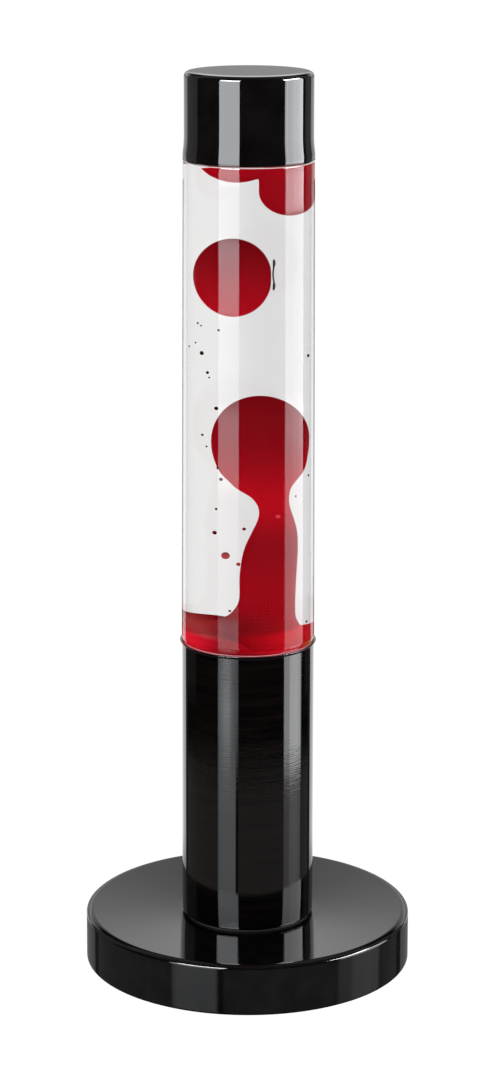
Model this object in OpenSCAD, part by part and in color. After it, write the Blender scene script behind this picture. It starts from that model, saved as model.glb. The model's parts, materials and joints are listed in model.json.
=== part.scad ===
// Lava lamp: round weighted base plate, tall drawn column with the bulb inside,
// slightly tapered glass vessel with liquid and wax, and a lift-off metal cap.
// Millimetres. +Z up, origin in the middle of the face the lamp stands on, -Y is the front.

/* [Overall] */
// Height of the whole lamp
total_h = 360; // [358:1:368]

/* [Base plate] */
// Radius of the round base plate
plate_r = 65.2; // [64:0.1:72]
// Height of the rim of the base plate above the table
plate_top = 20.3; // [20:0.1:20.6]
// Sheet thickness of the base plate
plate_t = 1.5; // [1.2:0.1:1.8]
// Outer rounding of the top edge of the base plate
plate_edge = 2.6; // [2.2:0.1:3.2]
// Outer radius of the ballast ring
ballast_ro = 59.5; // [56:0.5:60]

/* [Column] */
// Outer radius of the column
column_r = 26.35; // [26.3:0.05:26.5]
// Wall thickness of the column
column_t = 0.8; // [0.6:0.1:0.8]
// Height of the flared mouth of the column
lip_z = 132.5; // [132.2:0.1:132.6]
// Outer radius of the flared mouth
lip_r = 27.15; // [27.1:0.05:27.4]

/* [Glass vessel] */
// Outer radius of the glass just above the column
glass_rb = 26.45; // [26.3:0.05:26.5]
// Outer radius of the glass just below the cap
glass_rt = 25.8; // [25.7:0.05:25.9]
// Height at which the glass steps in under the cap
glass_top = 325.2; // [325:0.1:325.6]
// Level of the liquid inside the shoulder
liquid_z = 334.5; // [333:0.5:335]

/* [Cap] */
// Outer radius of the upper part of the cap
cap_r = 25.35; // [25.3:0.05:25.5]
// Outer radius of the skirt at the lower end of the cap
skirt_r = 25.9; // [25.85:0.05:26.1]
// Rounding of the top edge of the cap
cap_edge = 2; // [1.5:0.1:3]

/* [Lamp] */
// Largest radius of the reflector bulb
bulb_r = 19.5; // [18:0.5:20]
// Rise of the bulb in one turn of its screw base
thread_pitch = 2.82; // [2.82]

/* [Hidden] */
$fn = 96;

seat_z = 18.6;                       // middle of the dished plate
plate_z0 = 0.3;                      // lower edge of the plate's skirt
cover_z0 = 1.6;
cover_z1 = 3.4;
ballast_z1 = 12.6;
boss_pcd_r = 48;
column_z0 = seat_z + 0.9;            // the gasket is 0.9 mm thick
column_floor = column_z0 + 1.2;
foot_r = 1.6;                        // rounding at the column's foot
cap_z0 = glass_top + 0.4;
cap_t = 1;
bottle_z0 = 119.5;
wall = 2.2;                          // glass wall
mound_z = 136;
inlet_z = 9.5;                       // height of the cord inlet
wire_z = 8;

// points on an arc, n steps
function arc(cx, cy, r, a0, a1, n) =
    [for (i = [0:n]) let (a = a0 + (a1 - a0) * i / n) [cx + r * cos(a), cy + r * sin(a)]];
// outer radius of the tapered glass at height z
function glass_r(z) = glass_rb + (glass_rt - glass_rb) * (z - 133.6) / (glass_top - 133.6);

module ring(ri, ro, z0, z1) {
    translate([0, 0, z0]) difference() {
        cylinder(r = ro, h = z1 - z0);
        translate([0, 0, -1]) cylinder(r = ri, h = z1 - z0 + 2);
    }
}
module around(n, r, a0 = 0) {
    for (i = [0:n - 1]) rotate([0, 0, a0 + 360 * i / n]) translate([r, 0, 0]) children();
}
// hexagonal nut or head, across flats af
module hex(af, z0, z1) { translate([0, 0, z0]) cylinder(r = af / 2 / cos(30), h = z1 - z0, $fn = 6); }

// ------------------------------------------------------------------ base
module plate_outline(d) {
    r = plate_r - d;
    e = plate_edge - d;
    polygon([[0, plate_z0 + plate_t / 2 - d * 4], [r, plate_z0 + plate_t / 2 - d * 4], [r, plate_top - plate_edge],
        [r - e, plate_top - d], [28, seat_z - d], [0, seat_z - d]]);
    translate([r - e, plate_top - plate_edge]) circle(r = e);
}
module base_shell() {
    color([0.05, 0.05, 0.055]) difference() {
        rotate_extrude() difference() {
            union() {
                difference() {
                    plate_outline(0);
                    plate_outline(plate_t);
                }
                translate([plate_r - plate_t / 2, plate_z0 + plate_t / 2]) circle(r = plate_t / 2);
            }
            translate([-1, 0]) square([6.1, 30]);
        }
        translate([0, 55, inlet_z]) rotate([-90, 0, 0]) cylinder(r = 4.4, h = 20);
    }
}
// four tapped bosses welded under the plate
module weld_bosses() {
    color([0.6, 0.6, 0.62]) intersection() {
        around(4, boss_pcd_r, 45) ring(2, 4.2, ballast_z1, 20);
        rotate_extrude() plate_outline(plate_t);
    }
}
module ballast_ring() {
    color([0.25, 0.25, 0.26]) difference() {
        ring(37, ballast_ro, cover_z1, ballast_z1);
        around(4, boss_pcd_r, 45) translate([0, 0, 0]) cylinder(r = 2.4, h = 20);
        translate([-7, 30, 2]) cube([14, 40, 12]);
    }
}
module bottom_cover() {
    color([0.1, 0.1, 0.1]) difference() {
        translate([0, 0, cover_z0]) cylinder(r = plate_r - plate_t - 0.9, h = cover_z1 - cover_z0);
        around(4, boss_pcd_r, 45) {
            cylinder(r = 2.1, h = 10);
            translate([0, 0, cover_z0]) cylinder(r1 = 3.9, r2 = 2.1, h = 1.8);
        }
        translate([0, 25, 0]) cylinder(r = 1.0, h = 10);
    }
}
module cover_screws() {
    color([0.75, 0.75, 0.77]) around(4, boss_pcd_r, 45) difference() {
        union() {
            translate([0, 0, cover_z0]) cylinder(r1 = 3.8, r2 = 2, h = 1.8);
            translate([0, 0, cover_z1 - 0.01]) cylinder(r = 2, h = 12.2);
        }
        translate([-2.6, -0.4, cover_z0 - 1]) cube([5.2, 0.8, 1.8]);
        translate([-0.4, -2.6, cover_z0 - 1]) cube([0.8, 5.2, 1.8]);
    }
}
module feet() {
    color([0.08, 0.08, 0.08]) around(4, 54, 0) rotate_extrude() {
        square([5.2, cover_z0 - 0.6]);
        square([4.6, cover_z0]);
    }
}
// plain bush in the wall, where a mains lead would enter
module cord_bush() {
    color([0.07, 0.07, 0.07]) difference() {
        union() {
            translate([0, plate_r - 4, inlet_z]) rotate([-90, 0, 0]) cylinder(r = 4.4, h = 4);
            intersection() {
                translate([0, plate_r - 4.2, inlet_z]) rotate([-90, 0, 0]) cylinder(r = 5.4, h = 4);
                cylinder(r = plate_r - plate_t, h = 30);
            }
            difference() {
                translate([0, plate_r - 2, inlet_z]) rotate([-90, 0, 0]) cylinder(r = 6.4, h = 2.8);
                cylinder(r = plate_r, h = 30);
            }
        }
        translate([0, 40, inlet_z]) rotate([-90, 0, 0]) cylinder(r = 3.1, h = 40);
    }
}
// two-pole terminal block on the floor of the base
module terminal_block() {
    color([0.93, 0.92, 0.88]) difference() {
        translate([-9, 16, cover_z1]) cube([18, 18, 9.2]);
        for (x = [-5, 5]) {
            translate([x, 10, wire_z]) rotate([-90, 0, 0]) cylinder(r = 2.6, h = 30);
            for (y = [20, 30]) translate([x, y, wire_z]) cylinder(r = 2.1, h = 10);
        }
        translate([0, 25, 0]) cylinder(r = 1.4, h = 30);
        translate([0, 25, 9.6]) cylinder(r = 2.7, h = 30);
    }
}
module terminal_inserts() {
    color([0.8, 0.65, 0.3]) for (x = [-5, 5]) difference() {
        translate([x, 17, wire_z]) rotate([-90, 0, 0]) cylinder(r = 2.6, h = 16);
        translate([x, 10, wire_z]) rotate([-90, 0, 0]) cylinder(r = 1.2, h = 30);
        for (y = [20, 30]) translate([x, y, wire_z]) cylinder(r = 1.3, h = 10);
    }
}
module terminal_screws() {
    color([0.78, 0.78, 0.8]) for (x = [-5, 5], y = [20, 30]) translate([x, y, 0]) difference() {
        union() {
            translate([0, 0, wire_z + 1.25]) cylinder(r = 1.3, h = 2.2);
            translate([0, 0, wire_z + 2.8]) cylinder(r = 1.9, h = 1.2);
        }
        translate([-2.5, -0.3, wire_z + 3.4]) cube([5, 0.6, 2]);
    }
}
module terminal_fixing_screw() {
    color([0.78, 0.78, 0.8]) translate([0, 25, 0]) difference() {
        union() {
            translate([0, 0, cover_z0 + 0.1]) cylinder(r = 1, h = 9);
            translate([0, 0, 9.6]) cylinder(r = 2.4, h = 1.4);
        }
        translate([-3, -0.3, 10.3]) cube([6, 0.6, 2]);
    }
}

// ------------------------------------------------------------------ column
module column_gasket() { color([0.04, 0.04, 0.04]) ring(5.3, column_r - foot_r - 0.2, seat_z, column_z0); }
function flare(z, z1) = z < z1 ? 0 : (lip_r - column_r) * pow((z - z1) / (lip_z - z1), 2);
module column_tube() {
    z1 = lip_z - 2.4;
    steps = [for (i = [0:8]) z1 + (lip_z - z1) * i / 8];
    color([0.05, 0.05, 0.055]) rotate_extrude() difference() {
        union() {
            polygon(concat([[5.1, column_z0], [column_r - foot_r, column_z0], [column_r, column_z0 + foot_r]],
                [for (z = steps) [column_r + flare(z, z1), z]],
                [for (i = [8:-1:0]) [column_r - column_t + flare(steps[i], z1), steps[i]]],
                [[column_r - column_t, column_floor], [5.1, column_floor]]));
            intersection() {
                translate([column_r - foot_r, column_z0 + foot_r]) circle(r = foot_r);
                translate([column_r - foot_r, column_z0]) square([foot_r, foot_r]);
            }
        }
        translate([0, column_floor]) square([column_r - column_t, 2]);
    }
}
module threaded_nipple() {
    color([0.8, 0.65, 0.3]) ring(3.9, 5, 11.8, column_floor + 7);
}
module nipple_nut() {
    color([0.75, 0.75, 0.77]) difference() {
        hex(14, seat_z - plate_t - 3.8, seat_z - plate_t - 0.8);
        cylinder(r = 5, h = 40);
    }
}
module lock_washer() {
    color([0.7, 0.7, 0.72]) difference() {
        ring(5.2, 9, seat_z - plate_t - 0.8, seat_z - plate_t);
        around(12, 10, 15) cylinder(r = 1.6, h = 30, $fn = 24);
    }
}
// small screw lampholder, screwed down on the nipple
module lampholder_body() {
    color([0.92, 0.91, 0.87]) rotate_extrude() difference() {
        polygon([[0, column_floor], [11, column_floor], [12, column_floor + 1], [12, 24.5], [13, 25.5], [13, 52], [12.2, 54], [0, 54]]);
        translate([-1, 19]) square([6, 9.4]);          // thread of the nipple
        translate([-1, 28.2]) square([10.5, 3.8]);     // wiring chamber
        translate([-1, 30]) square([6.4, 5]);          // passage for the contacts
        translate([-1, 34.4]) square([8.5, 30]);       // socket bore
    }
}
module socket_shell() {
    color([0.8, 0.68, 0.35]) difference() {
        union() {
            ring(7.1, 7.5, 34.4, 52.5);
            ring(4, 7.5, 34.4, 34.8);
            translate([4.6, -1.2, 31]) cube([0.5, 2.4, 3.5]);
        }
    }
}
module centre_contact() {
    color([0.8, 0.68, 0.35]) {
        translate([0, 0, 33]) cylinder(r = 2.8, h = 1.7);
        translate([-1.2, -5.25, 32.4]) cube([2.4, 10.5, 0.6]);
        translate([-1.2, -1.2, 30]) cube([2.4, 2.4, 2.5]);
    }
}
// insulated lead: terminal block, slanted run, bend, up the nipple
module lead(s, ztop) {
    r = 0.9;
    br = 3.4;
    xt = s * 5;                      // terminal
    xn = s * 1.35;                   // nipple
    y1 = 14;
    a = atan2(xt - xn, y1);          // turn of the slanted stretch about Z
    l = sqrt(pow(xt - xn, 2) + pow(y1, 2));
    translate([xt, y1, wire_z]) rotate([-90, 0, 0]) cylinder(r = r, h = 5.5, $fn = 32);
    translate([xt, y1, wire_z]) sphere(r = r + 0.08, $fn = 32);
    translate([xn, 0, wire_z]) rotate([0, 0, -a]) {
        translate([0, br, 0]) rotate([-90, 0, 0]) cylinder(r = r, h = l - br, $fn = 32);
        translate([0, br, br]) rotate([90, 0, 90]) rotate([0, 0, 180])
            rotate_extrude(angle = 90, $fn = 64) translate([br, 0]) circle(r = r, $fn = 32);
        translate([0, 0, br]) cylinder(r = r, h = ztop - wire_z - br, $fn = 32);
    }
}
module wire_live() { color([0.45, 0.25, 0.12]) lead(-1, 30); }
module wire_neutral() {
    color([0.15, 0.3, 0.7]) {
        lead(1, 28.6);
        translate([1.35, 0, 28.6]) sphere(r = 0.98, $fn = 32);
        difference() {
            translate([1.35, 0, 28.6]) rotate([0, 45, 0]) cylinder(r = 0.9, h = 6, $fn = 32);
            translate([4.6, -3, 20]) cube([10, 6, 20]);
        }
    }
}
// pressed ring inside the column that carries the glass
module seat_ring() {
    color([0.7, 0.7, 0.72]) {
        ring(21.2, column_r - column_t, 117.6, 118.4);
        ring(column_r - column_t - 0.8, column_r - column_t, 110, 117.7);
    }
}
module seat_gasket() { color([0.85, 0.85, 0.82]) ring(21.4, 24.2, 118.4, 119.4); }

// ------------------------------------------------------------------ bulb
module bulb_tip_contact() {
    color([0.7, 0.7, 0.72]) translate([0, 0, 34.8]) cylinder(r1 = 1.8, r2 = 2.3, h = 1);
}
module bulb_insulator() { color([0.05, 0.05, 0.08]) translate([0, 0, 35.8]) cylinder(r1 = 3, r2 = 5.6, h = 1.9); }
module bulb_screw_base() {
    color([0.85, 0.85, 0.87]) rotate_extrude() difference() {
        polygon([[0, 37.7], [5.6, 37.7], [6.8, 39], [6.8, 53.4], [7.6, 54.6], [7.6, 58], [0, 58]]);
        polygon([[-1, 38.5], [5.3, 38.5], [6.3, 39.6], [6.3, 53.7], [7.1, 54.9], [7.1, 59], [-1, 59]]);
    }
}
function bulb_profile(d) = concat(
    [[0, 56], [7.1 - d, 56], [7.1 - d, 58.4], [8.4 - d, 60.5], [10.6 - d, 63.5], [13.4 - d, 67.5], [16 - d, 72.5], [18.1 - d, 78]],
    arc(0, 83, bulb_r - d, -7, 20, 5),
    arc(0, 83, bulb_r - d, 27, 90, 8));
module bulb_glass() {
    color([0.85, 0.85, 0.85, 0.8]) rotate_extrude() difference() {
        polygon(bulb_profile(0));
        polygon(concat([[-1, 57.2]], [for (p = bulb_profile(0.7)) [p[0], p[1] + (p[1] < 58 ? 1.2 : (p[1] > 84 ? -0.1 : 0.1))]]));
    }
}
module stem_solid() {
    rotate_extrude($fn = 48)
        polygon([[0, 57.2], [5.6, 57.2], [5.4, 58.5], [2.6, 60.5], [1.9, 63], [1.9, 70], [1.2, 71.2], [0, 71.4]]);
}
module bulb_stem() { color([0.9, 0.9, 0.9, 0.5]) stem_solid(); }
module bulb_filament() {
    color([0.6, 0.6, 0.6]) {
        difference() {
            for (s = [-1, 1]) filament_post(s);
            stem_solid();
        }
        translate([0, 0, 84]) rotate([90, 0, 0]) rotate_extrude(angle = 180, $fn = 48) translate([6, 0]) circle(r = 0.45, $fn = 16);
    }
}
module filament_post(s) {
    translate([s * 1.2, 0, 71]) rotate([0, s * atan2(4.8, 13), 0]) cylinder(r = 0.4, h = sqrt(4.8 * 4.8 + 13 * 13), $fn = 16);
    translate([s * 6, 0, 84]) sphere(r = 0.45, $fn = 16);
}

// ------------------------------------------------------------------ vessel
// neck top, 7.5 mm below the top of the cap
neck_z = total_h - 7.5;
module bottle_outside() {
    polygon(concat([[0, bottle_z0 + 1.6], [13, bottle_z0 + 1.2], [17.5, bottle_z0]],
        arc(20.7, bottle_z0 + 4, 4, -90, 0, 6),
        [[24.75, 128.4], [25, 130.1], [25.5, 131.4], [25.95, 132.3], [26.25, 133], [glass_rb, 133.8],
        [glass_rt, glass_top - 0.5], [glass_rt - 0.15, glass_top - 0.15], [glass_rt - 0.5, glass_top], [24.4, glass_top], [24.4, 329.5],
        [24, 331.6], [22.7, 333.9], [20.4, 335.9], [17.7, 337.5], [15.4, 339], [13.8, 340.8], [13, 343.2], [13, neck_z - 4.5],
        [14, neck_z - 3.5], [14, neck_z - 1], [13.3, neck_z], [0, neck_z]]));
}
module bottle_inside() {
    polygon(concat([[0, bottle_z0 + 4.4], [14, bottle_z0 + 4], [18.5, bottle_z0 + 3.2]],
        arc(19, bottle_z0 + 6.2, 3.2, -80, 0, 5),
        [[22.5, 129], [23.4, 132.2], [glass_rb - wall, 135.5],
        [glass_rt - wall, glass_top - 2], [22.9, 327.5], [22.1, 329.5],
        [21.6, 331.1], [20.4, 332.7], [18.6, 334.1], [16.2, 335.5], [13.4, 337.2], [11.4, 339.1], [10.2, 341.4], [9.6, 344], [9.6, neck_z + 1], [0, neck_z + 1]]));
}
module glass_bottle() {
    color([0.85, 0.9, 0.92, 0.35]) rotate_extrude() difference() {
        bottle_outside();
        translate([-5, 0]) square([5, 500]);
        bottle_inside();
    }
}
// solid of the inside of the vessel between two heights
module filling(z0, z1) {
    rotate_extrude() intersection() {
        bottle_inside();
        translate([0, z0]) square([40, z1 - z0]);
    }
}
// half-profile of an egg: radius a, lower half-height b, upper half-height c
function egg(a, b, c, n) = [for (i = [0:2 * n]) let (t = -90 + 90 * i / n)
    [i == 0 || i == 2 * n ? 0 : a * cos(t), (t < 0 ? b : c) * sin(t)]];
module egg_body(x, y, z, a, b, c, n = 10) {
    translate([x, y, z]) rotate_extrude() polygon(egg(a, b, c, n));
}
module wax_column_solid() {
    filling(100, mound_z);
    // foot and lower stem
    translate([5.9, 0, 0]) rotate_extrude() polygon([[0, 131], [16.6, 131], [16.6, 135.8], [14.2, 136.8], [12.2, 139.2],
        [10.6, 142.6], [9.4, 146.7], [8.7, 151.2], [8.45, 157.2], [8.4, 163.2], [8.1, 168.2], [7.2, 173.2], [0, 177.2]]);
    // narrowing upper stem
    translate([7.6, 0, 0]) rotate_extrude() polygon([[0, 163.2], [6.8, 165.2], [7.6, 169.2], [7.5, 173.2], [6.8, 177.2], [5.6, 181.7],
        [4.9, 185.7], [4.9, 189.2], [5.6, 192.7], [6.2, 195.2], [0, 199.2]]);
    // bulb at the head
    translate([3.7, 0, 215]) rotate_extrude() polygon(concat([[0, -24], [3.8, -23.4], [6.6, -21.6], [9.2, -18.6], [11.4, -15.2], [13.1, -10.8], [14.2, -5.6]],
        [for (i = [0:10]) [i == 10 ? 0 : 14.6 * cos(9 * i), 18 * sin(9 * i)]]));
}
module wax_column() {
    color([0.7, 0.03, 0.08]) difference() {
        wax_column_solid();
        coil_solid();
    }
}
// thin wire ring on the floor of the vessel that breaks the wax apart and spreads the heat
module coil_solid() { translate([0, 0, 126.1]) rotate_extrude() translate([16.5, 0]) circle(r = 1.9, $fn = 48); }
module wax_breaker_coil() { color([0.7, 0.7, 0.72]) coil_solid(); }
module wax_top_solid() {
    intersection() {
        union() {
            translate([-3.4, 0, 330.6]) sphere(r = 13.5);
            translate([12.4, 0, 313.7]) sphere(r = 9.5);
            translate([12.4, 0, 313.7]) cylinder(r = 9.5, h = 15);
            translate([0, 0, 325.4]) cylinder(r = 21, h = 5.1);
        }
        translate([0, 0, 300]) cylinder(r = 22, h = 30.5);
    }
}
module wax_top() { color([0.7, 0.03, 0.08]) wax_top_solid(); }
// free droplets: x, y, z, radius
drops = [[-17.3, -8, 262.5, 0.4], [-16.2, -9, 261.7, 0.35], [-10.3, -13, 260.7, 0.45], [-18.2, -8, 254.7, 0.35], [-21.4, -8, 253.1, 0.4],
    [-16.1, -10, 251, 0.8], [-14.1, -11, 243.5, 0.6], [-13.3, -10, 241.4, 0.35], [-10, -4, 228.3, 0.7], [-14.2, -2, 217.1, 0.45],
    [20.1, -4, 248.8, 0.65], [-10, -9, 205.3, 0.55], [-8.7, -6, 200.2, 0.65], [-10, -4, 187.8, 0.45], [-1.3, -6, 180.3, 0.6],
    [-10.5, -4, 178.2, 0.75], [-7.1, -5, 169.2, 1.4], [-3.1, -6, 166, 0.7], [-6, -9, 147.5, 0.45], [20.5, -4, 200.7, 0.45],
    [20.1, -5, 141.4, 0.5], [-13, -3, 212.7, 0.35], [15.1, -4, 192.7, 0.35]];
module drop_balls() { for (d = drops) translate([d[0], d[1], d[2]]) sphere(r = d[3], $fn = 32); }
module wax_droplets() { color([0.6, 0.03, 0.07]) drop_balls(); }
module wax_blob() { color([0.7, 0.03, 0.08]) egg_body(-4.7, 0, 279.8, 11.6, 15.4, 15.4); }
module liquid() {
    color([0.9, 0.92, 0.94, 0.3]) difference() {
        filling(mound_z, liquid_z);
        wax_column_solid();
        wax_top_solid();
        drop_balls();
        egg_body(-4.7, 0, 279.8, 11.95, 15.75, 15.75);
    }
}
module crown_seal() { color([0.9, 0.9, 0.86]) translate([0, 0, neck_z]) cylinder(r = 13.2, h = 0.7); }
module crown_closure() {
    color([0.75, 0.76, 0.78]) rotate_extrude() difference() {
        polygon([[0, neck_z - 3], [15.8, neck_z - 3], [15.4, neck_z - 2], [14.7, neck_z + 0.2], [13.6, neck_z + 1.1], [0, neck_z + 1.1]]);
        polygon([[-1, neck_z - 4], [15.2, neck_z - 4], [15.2, neck_z - 2.9], [14.9, neck_z - 1.8], [14.05, neck_z - 0.9], [14.05, neck_z - 0.6], [13.4, neck_z + 0.3], [13.2, neck_z + 0.7], [-1, neck_z + 0.7]]);
    }
}

// ------------------------------------------------------------------ cap
module cap_outline(d) {
    e = cap_edge - d;
    polygon([[0, cap_z0 - d], [skirt_r - d, cap_z0 - d], [skirt_r - d, cap_z0 + 1.8], [cap_r + 0.12 - d, cap_z0 + 6.4], [cap_r - d, cap_z0 + 8.4],
        [cap_r - d, total_h - cap_edge], [cap_r - d - e, total_h - d], [0, total_h - d]]);
    translate([cap_r - cap_edge, total_h - cap_edge]) circle(r = e);
}
module top_cap() {
    color([0.05, 0.05, 0.055]) rotate_extrude() difference() {
        cap_outline(0);
        cap_outline(cap_t);
        translate([-5, 0]) square([5, 500]);
    }
}
// soft ring in the cap that centres it on the shoulder of the glass
module cap_liner() {
    color([0.85, 0.85, 0.82]) rotate_extrude()
        polygon([[19.3, 337], [19.3, 340.4], [cap_r - cap_t, 340.4], [cap_r - cap_t, 336], [20.9, 336]]);
}

base_shell();
weld_bosses();
ballast_ring();
bottom_cover();
cover_screws();
feet();
cord_bush();
terminal_block();
terminal_inserts();
terminal_screws();
terminal_fixing_screw();
column_gasket();
column_tube();
threaded_nipple();
nipple_nut();
lock_washer();
lampholder_body();
socket_shell();
centre_contact();
wire_live();
wire_neutral();
seat_ring();
seat_gasket();
bulb_tip_contact();
bulb_insulator();
bulb_screw_base();
bulb_glass();
bulb_stem();
bulb_filament();
glass_bottle();
liquid();
wax_column();
wax_top();
wax_droplets();
wax_breaker_coil();
crown_seal();
crown_closure();
wax_blob();
top_cap();
cap_liner();
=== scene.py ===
import json
import math

import bmesh
import bpy
from mathutils import Matrix, Vector


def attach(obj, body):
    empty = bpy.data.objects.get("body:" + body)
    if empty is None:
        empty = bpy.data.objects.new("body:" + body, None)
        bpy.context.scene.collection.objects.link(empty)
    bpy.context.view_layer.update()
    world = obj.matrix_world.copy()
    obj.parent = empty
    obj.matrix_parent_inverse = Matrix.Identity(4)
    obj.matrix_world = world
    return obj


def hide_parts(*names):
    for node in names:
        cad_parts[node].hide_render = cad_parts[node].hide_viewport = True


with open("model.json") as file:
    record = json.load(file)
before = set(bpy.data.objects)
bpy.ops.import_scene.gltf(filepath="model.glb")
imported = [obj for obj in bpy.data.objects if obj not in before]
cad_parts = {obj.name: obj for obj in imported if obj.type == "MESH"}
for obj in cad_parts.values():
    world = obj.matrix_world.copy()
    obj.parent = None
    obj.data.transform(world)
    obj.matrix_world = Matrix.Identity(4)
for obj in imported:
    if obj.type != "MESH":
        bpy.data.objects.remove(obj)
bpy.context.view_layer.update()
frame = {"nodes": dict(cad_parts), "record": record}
MM = 0.001
NODES = frame["nodes"]
SCENE = bpy.context.scene


# ---------------------------------------------------------------- helpers: curves and meshes
def spline(points, n):
    """Smooth curve through points (lists of equal length), n steps between two points."""
    out = []
    k = len(points)
    for i in range(k - 1):
        p0 = points[max(i - 1, 0)]
        p1, p2 = points[i], points[i + 1]
        p3 = points[min(i + 2, k - 1)]
        for j in range(n):
            t = j / n
            t2, t3 = t * t, t * t * t
            out.append([0.5 * ((2 * b) + (-a + c) * t + (2 * a - 5 * b + 4 * c - d) * t2 + (-a + 3 * b - 3 * c + d) * t3)
                        for a, b, c, d in zip(p0, p1, p2, p3)])
    out.append(list(points[-1]))
    return out


def arc(cx, cz, r, a0, a1, n):
    return [(cx + r * math.cos(math.radians(a0 + (a1 - a0) * i / n)),
             cz + r * math.sin(math.radians(a0 + (a1 - a0) * i / n))) for i in range(n + 1)]


def finish_mesh(bm, name, mats, sharp=32.0, smooth=True):
    bmesh.ops.remove_doubles(bm, verts=bm.verts, dist=1e-8)
    bmesh.ops.recalc_face_normals(bm, faces=bm.faces)
    me = bpy.data.meshes.new(name)
    bm.to_mesh(me)
    bm.free()
    for p in me.polygons:
        p.use_smooth = smooth
    if smooth and sharp:
        me.set_sharp_from_angle(angle=math.radians(sharp))
    for m in mats:
        me.materials.append(m)
    ob = bpy.data.objects.new(name, me)
    SCENE.collection.objects.link(ob)
    return ob


def lathe(name, profile, mats, segs=160, loop=False, slot_of=None, sharp=32.0, shape=None):
    """Turns a profile of (r, z) in mm about Z. loop closes it on itself; otherwise both ends sit on the axis.
    slot_of(r, z) picks the material slot of the faces around that point; shape(x, y, z) moves a point."""
    bm = bmesh.new()
    rings = []
    for r, z in profile:
        if r < 1e-6:
            p = (0.0, 0.0, z)
            if shape:
                p = shape(*p)
            rings.append([bm.verts.new([c * MM for c in p])])
        else:
            ring = []
            for i in range(segs):
                a = 2 * math.pi * i / segs
                p = (r * math.cos(a), r * math.sin(a), z)
                if shape:
                    p = shape(*p)
                ring.append(bm.verts.new([c * MM for c in p]))
            rings.append(ring)
    pairs = list(zip(range(len(rings) - 1), range(1, len(rings))))
    if loop:
        pairs.append((len(rings) - 1, 0))
    for a, b in pairs:
        ra, rb = rings[a], rings[b]
        mi = 0
        if slot_of:
            mi = slot_of((profile[a][0] + profile[b][0]) / 2, (profile[a][1] + profile[b][1]) / 2)
        for i in range(segs):
            j = (i + 1) % segs
            if len(ra) == 1 and len(rb) == 1:
                continue
            if len(ra) == 1:
                f = bm.faces.new((ra[0], rb[j], rb[i]))
            elif len(rb) == 1:
                f = bm.faces.new((ra[i], ra[j], rb[0]))
            else:
                f = bm.faces.new((ra[i], ra[j], rb[j], rb[i]))
            f.material_index = mi
    return finish_mesh(bm, name, mats, sharp)


def loft(name, rings, mats, segs=128, shape=None):
    """Closed body through rings (cx, cy, cz, r, tilt): tilt mm higher on the left than in the middle, and lower on the right. r = 0 closes an end."""
    bm = bmesh.new()
    made = []
    for cx, cy, cz, r, tilt in rings:
        if r < 1e-6:
            made.append([bm.verts.new((cx * MM, cy * MM, cz * MM))])
            continue
        ring = []
        for i in range(segs):
            a = 2 * math.pi * i / segs
            x, y = cx + r * math.cos(a), cy + r * math.sin(a)
            z = cz - tilt * math.tanh(x / 5.0)
            if shape:
                x, y, z = shape(x, y, z)
            ring.append(bm.verts.new((x * MM, y * MM, z * MM)))
        made.append(ring)
    for ra, rb in zip(made, made[1:]):
        for i in range(segs):
            j = (i + 1) % segs
            if len(ra) == 1:
                bm.faces.new((ra[0], rb[j], rb[i]))
            elif len(rb) == 1:
                bm.faces.new((ra[i], ra[j], rb[0]))
            else:
                bm.faces.new((ra[i], ra[j], rb[j], rb[i]))
    return finish_mesh(bm, name, mats, sharp=60)


# ---------------------------------------------------------------- helpers: materials
def new_material(name):
    m = bpy.data.materials.new(name)
    m.use_nodes = True
    nt = m.node_tree
    for n in list(nt.nodes):
        nt.nodes.remove(n)
    out = nt.nodes.new("ShaderNodeOutputMaterial")
    return m, nt, out


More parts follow.
